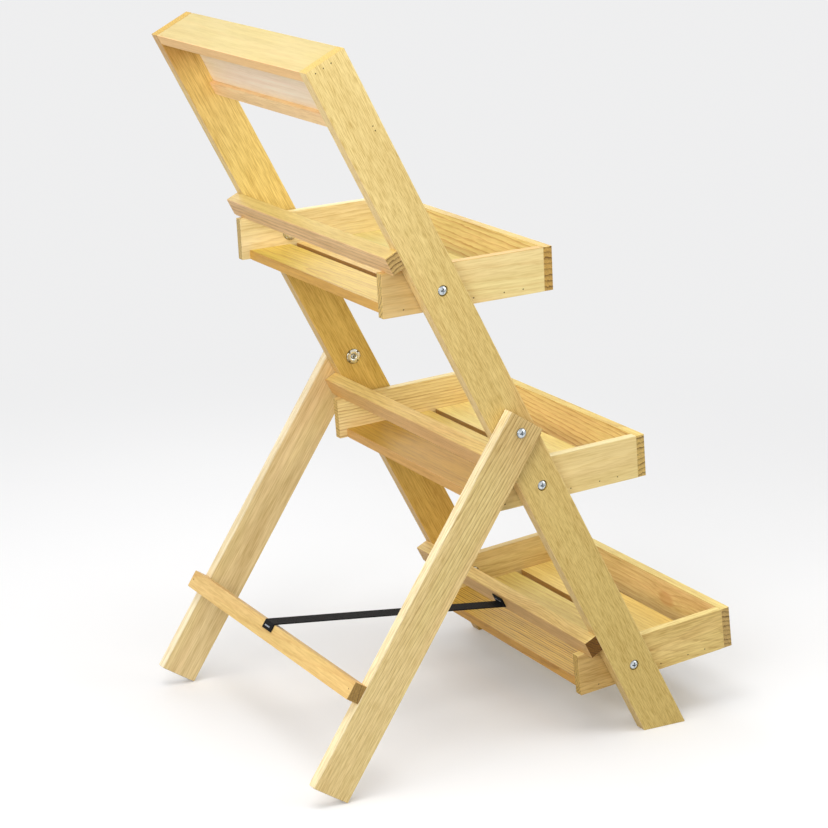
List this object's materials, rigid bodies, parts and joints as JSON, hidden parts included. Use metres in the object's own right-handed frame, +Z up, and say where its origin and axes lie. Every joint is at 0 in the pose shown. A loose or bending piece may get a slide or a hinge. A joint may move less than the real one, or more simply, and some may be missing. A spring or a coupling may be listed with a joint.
{
  "type": "plant ladder stand",
  "caption": "Free-standing wooden plant ladder with leaning rails, stepped slatted trays that hinge up, and rear legs on a check strap that fold forward.",
  "frame": {"origin": "on the floor, in the middle of the width over the bolt heads and of the depth from the bottom tray's front to the rear legs' feet", "axes": "+Z up; -Y towards the front, where the trays reach out; +Y towards the splayed rear legs; +X to the right of someone who looks along +Y at the trays' fronts"},
  "size_m": [0.3766, 0.4768, 0.6902],
  "materials": {
    "varnished_pine": "satin clear varnish, grain along each board",
    "pale_pine": "satin clear varnish, paler and pinker boards",
    "zinc_steel": "bright zinc plating",
    "bright_steel": "bright wire",
    "black_webbing": "woven matte webbing"
  },
  "bodies": {
    "frame": {"rail_left": "varnished_pine", "rail_right": "varnished_pine", "top_board": "varnished_pine", "upper_panel": "pale_pine", "panel_batten": "pale_pine", "stop_bar_1": "varnished_pine", "stop_bar_2": "varnished_pine", "stop_bar_3": "varnished_pine", "leg_bolts": "zinc_steel", "leg_tee_nuts": "zinc_steel", "frame_nails": "bright_steel", "check_strap": "black_webbing", "front_staple": "bright_steel"},
    "rear_legs": {"rear_leg_left": "varnished_pine", "rear_leg_right": "varnished_pine", "rear_crossbar": "varnished_pine", "crossbar_nails": "bright_steel", "rear_staple": "bright_steel"},
    "tray_1": {"tray_1_side_left": "varnished_pine", "tray_1_side_right": "varnished_pine", "tray_1_front": "varnished_pine", "tray_1_slat_rear": "varnished_pine", "tray_1_slat_middle": "varnished_pine", "tray_1_slat_front": "varnished_pine", "tray_1_bolts": "zinc_steel", "tray_1_tee_nuts": "zinc_steel", "tray_1_nails": "bright_steel"},
    "tray_2": {"tray_2_side_left": "varnished_pine", "tray_2_side_right": "varnished_pine", "tray_2_front": "varnished_pine", "tray_2_slat_rear": "varnished_pine", "tray_2_slat_middle": "varnished_pine", "tray_2_slat_front": "varnished_pine", "tray_2_bolts": "zinc_steel", "tray_2_tee_nuts": "zinc_steel", "tray_2_nails": "bright_steel"},
    "tray_3": {"tray_3_side_left": "varnished_pine", "tray_3_side_right": "varnished_pine", "tray_3_front": "varnished_pine", "tray_3_slat_rear": "varnished_pine", "tray_3_slat_middle": "varnished_pine", "tray_3_slat_front": "varnished_pine", "tray_3_bolts": "zinc_steel", "tray_3_tee_nuts": "zinc_steel", "tray_3_nails": "bright_steel"}
  },
  "joints": [
    {"name": "leg_fold", "type": "hinge", "parent": "frame", "child": "rear_legs", "pos_m": [0, 0.0183, 0.32626], "axis": [-1, 0, 0], "range_deg": [0, 59.5], "deforming": ["check_strap"]},
    {"name": "tray_1_fold", "type": "hinge", "parent": "frame", "child": "tray_1", "pos_m": [0, 0.09049, 0.46612], "axis": [-1, 0, 0], "range_deg": [0, 115.3]},
    {"name": "tray_2_fold", "type": "hinge", "parent": "frame", "child": "tray_2", "pos_m": [0, -0.0117, 0.26814], "axis": [-1, 0, 0], "range_deg": [0, 113.7]},
    {"name": "tray_3_fold", "type": "hinge", "parent": "frame", "child": "tray_3", "pos_m": [0, -0.11388, 0.07015], "axis": [-1, 0, 0], "range_deg": [0, 111.3]}
  ],
  "couplings": [
    {"joint": "tray_3_fold", "follows": "leg_fold", "ratio": 1.87}
  ]
}
